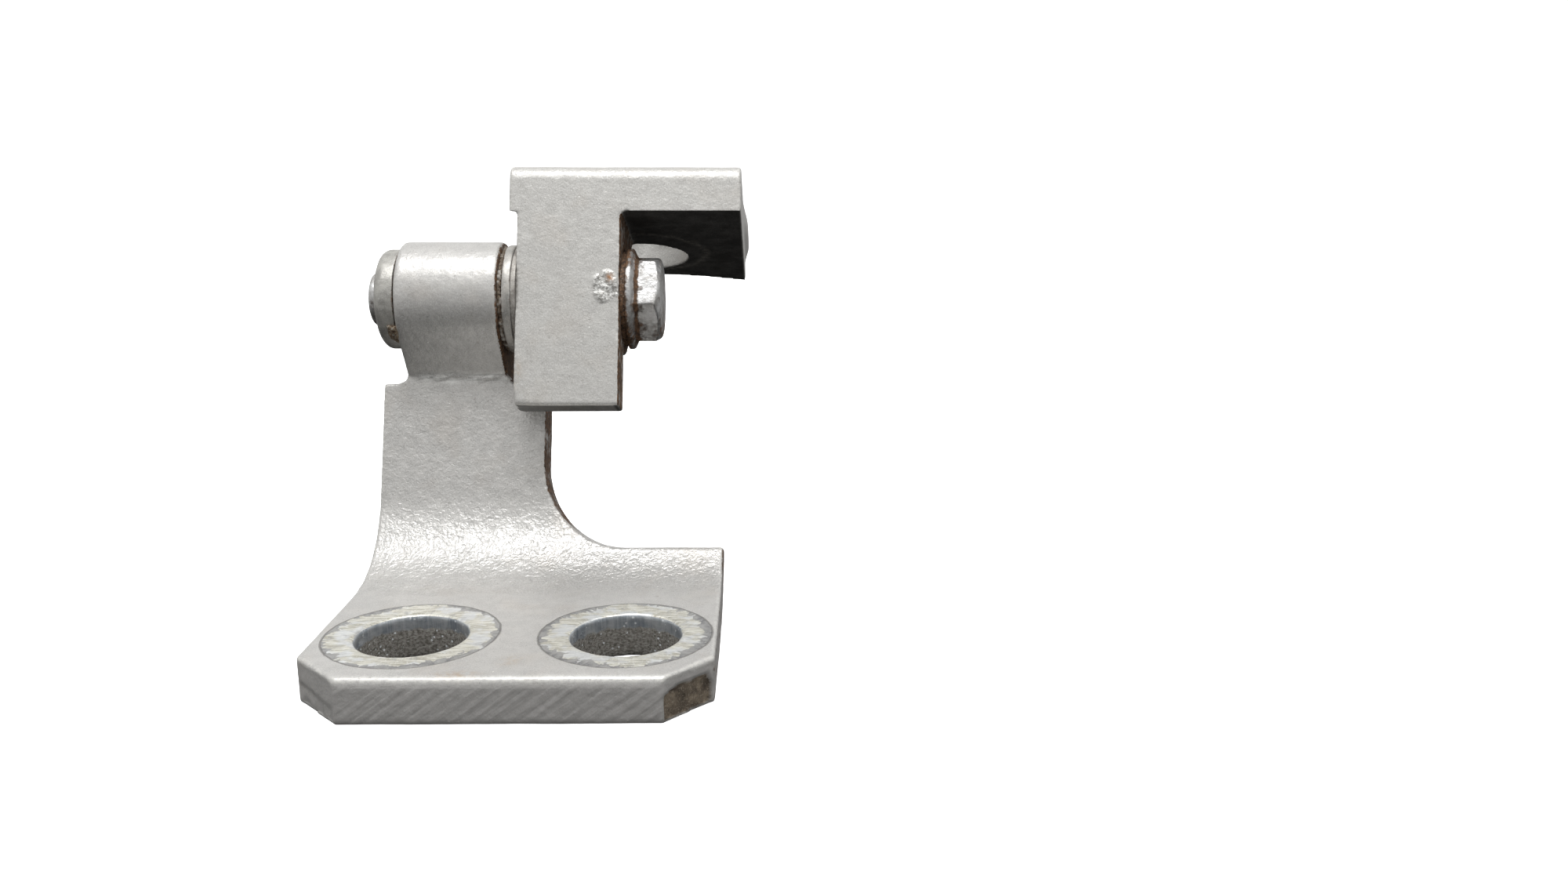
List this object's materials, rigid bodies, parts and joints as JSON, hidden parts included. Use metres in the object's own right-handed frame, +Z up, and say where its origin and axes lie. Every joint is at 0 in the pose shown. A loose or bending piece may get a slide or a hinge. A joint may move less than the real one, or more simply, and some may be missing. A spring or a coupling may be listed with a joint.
{
  "type": "door hinge",
  "caption": "Heavy-duty cab door hinge: a bent plate bracket with an eye carries a swinging block with a bolt-on strap on a sleeved pivot bolt.",
  "frame": {"origin": "midway between the two bracket holes, on the underside of the base", "axes": "+X along the pivot towards the bolt head, +Y from the base's front edge back to the leg, +Z up, normal to the base"},
  "size_m": [0.0973, 0.1607, 0.1124],
  "materials": {
    "bracket_paint": "satin grey enamel over rolled plate",
    "block_paint": "satin grey enamel over forged steel",
    "washer_paint": "overspray on turned steel",
    "bronze": "oiled bronze with grime",
    "ground_steel": "ground",
    "zinc": "dull zinc plate",
    "weld": "as welded, lightly rusted"
  },
  "bodies": {
    "bracket": {"frame_bracket": "bracket_paint", "knuckle_bushing_outer": "bronze", "knuckle_bushing_inner": "bronze", "thrust_washer": "washer_paint", "pivot_sleeve": "ground_steel", "pivot_bolt": "zinc", "round_nut": "washer_paint", "nut_tack_weld": "weld"},
    "door_leaf": {"door_block": "block_paint", "lug_bushing_inner": "bronze", "lug_bushing_outer": "bronze"}
  },
  "joints": [
    {"name": "door_swing", "type": "hinge", "parent": "bracket", "child": "door_leaf", "pos_m": [0, 0.06888, 0.07809], "axis": [-1, 0, 0], "range_deg": [-6, 95]}
  ]
}
